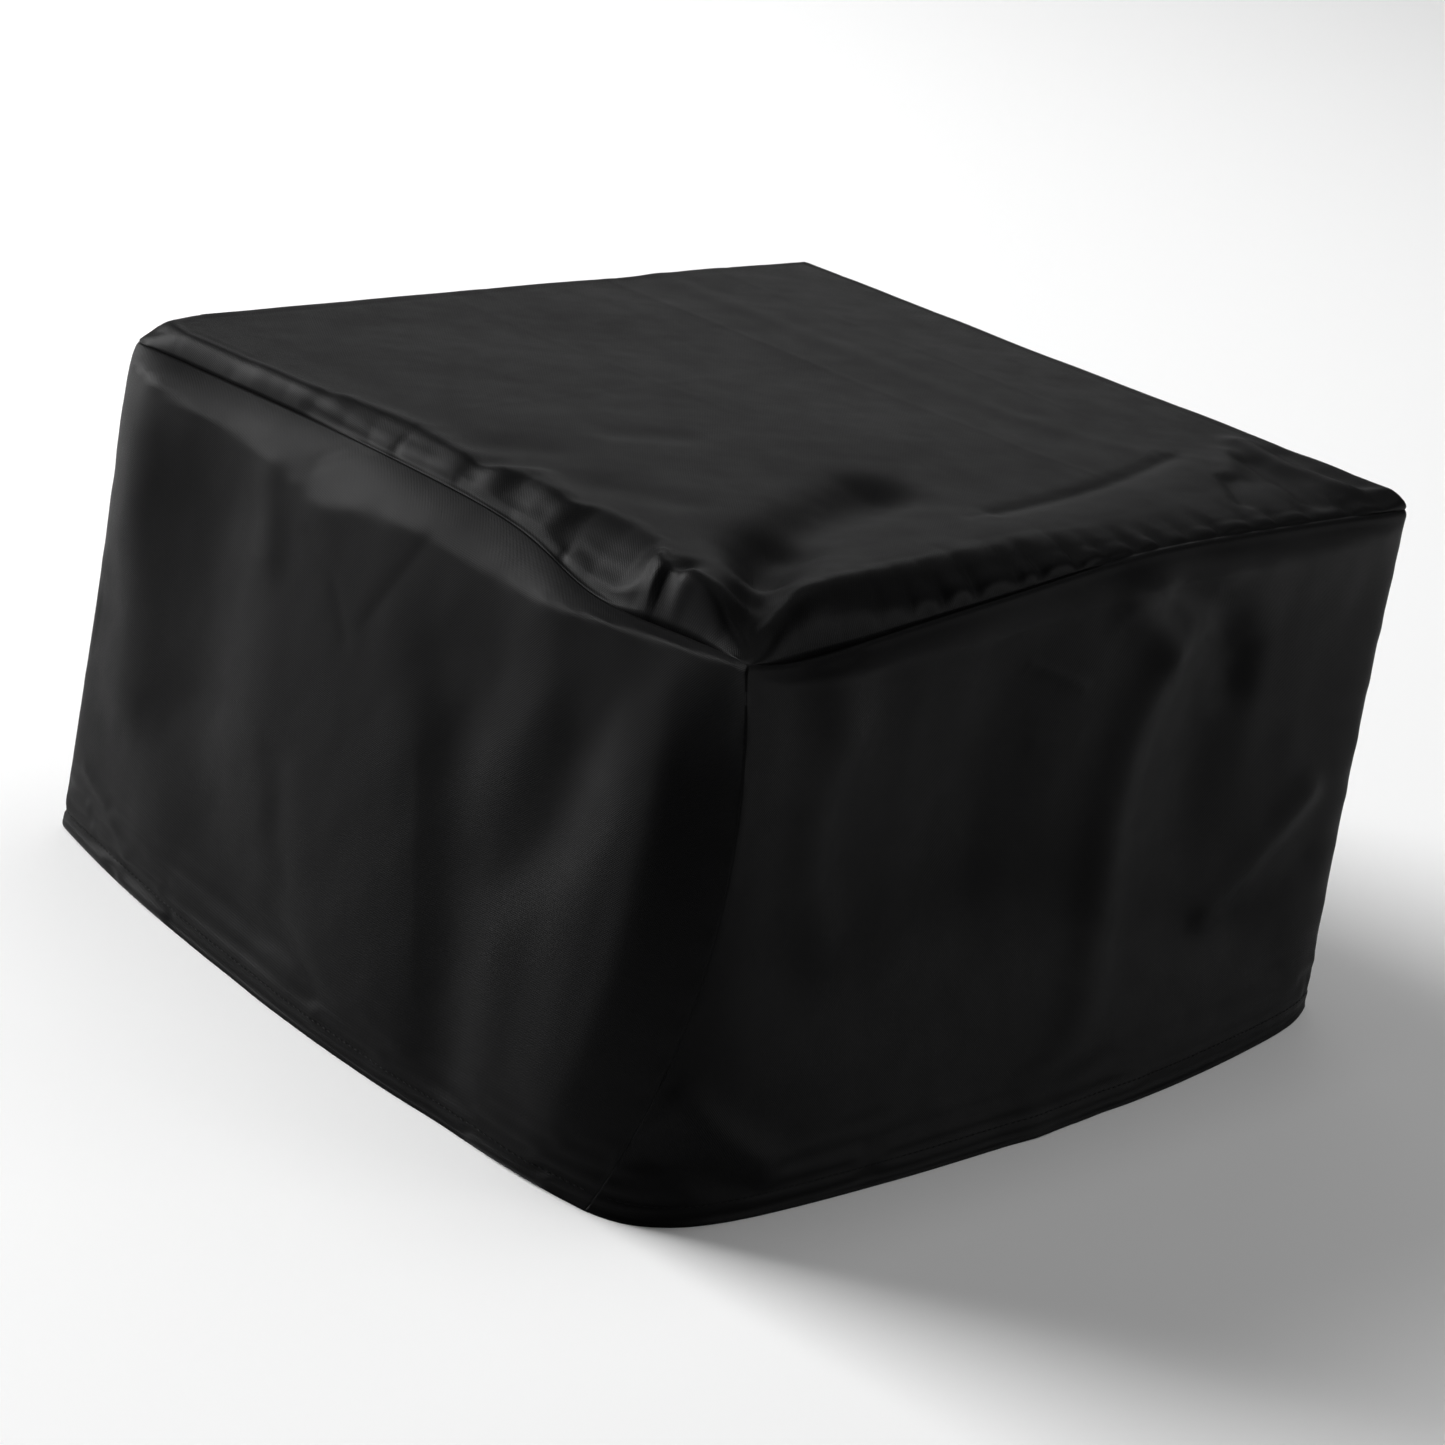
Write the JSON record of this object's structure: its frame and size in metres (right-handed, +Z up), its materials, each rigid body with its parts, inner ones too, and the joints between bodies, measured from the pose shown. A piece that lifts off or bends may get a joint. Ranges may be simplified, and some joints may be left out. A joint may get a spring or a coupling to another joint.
{
  "type": "printer dust cover",
  "caption": "Fitted woven cloth dust cover for a desktop printer: a soft box, open at the bottom, with a puckered top seam, sewn corners and a stitched hem.",
  "frame": {"origin": "on the surface that the hem stands on, under the middle of the cover", "axes": "+Z up through the top panel; +X along the longer side; the front wall faces -Y and the left wall faces -X"},
  "size_m": [0.512, 0.48, 0.265],
  "materials": {
    "cloth": "fine plain-woven black polyester with a soft satin sheen",
    "seam_allowance": "the same cloth, matt coated side out, edge overlocked",
    "thread": "twisted black polyester sewing thread"
  },
  "bodies": {
    "root": {"back_hem": "cloth", "back_hem_stitching": "thread", "back_left_seam_allowance": "seam_allowance", "back_left_seam_stitching": "thread", "back_right_seam_allowance": "seam_allowance", "back_right_seam_stitching": "thread", "back_top_seam_allowance": "seam_allowance", "back_top_seam_stitching": "thread", "back_wall": "cloth", "front_hem": "cloth", "front_hem_stitching": "thread", "front_left_seam_allowance": "seam_allowance", "front_left_seam_stitching": "thread", "front_right_seam_allowance": "seam_allowance", "front_right_seam_stitching": "thread", "front_top_seam_allowance": "seam_allowance", "front_top_seam_stitching": "thread", "front_wall": "cloth", "left_hem": "cloth", "left_hem_stitching": "thread", "left_top_seam_allowance": "seam_allowance", "left_top_seam_stitching": "thread", "left_wall": "cloth", "right_hem": "cloth", "right_hem_stitching": "thread", "right_top_seam_allowance": "seam_allowance", "right_top_seam_stitching": "thread", "right_wall": "cloth", "top_panel": "cloth"}
  },
  "joints": []
}
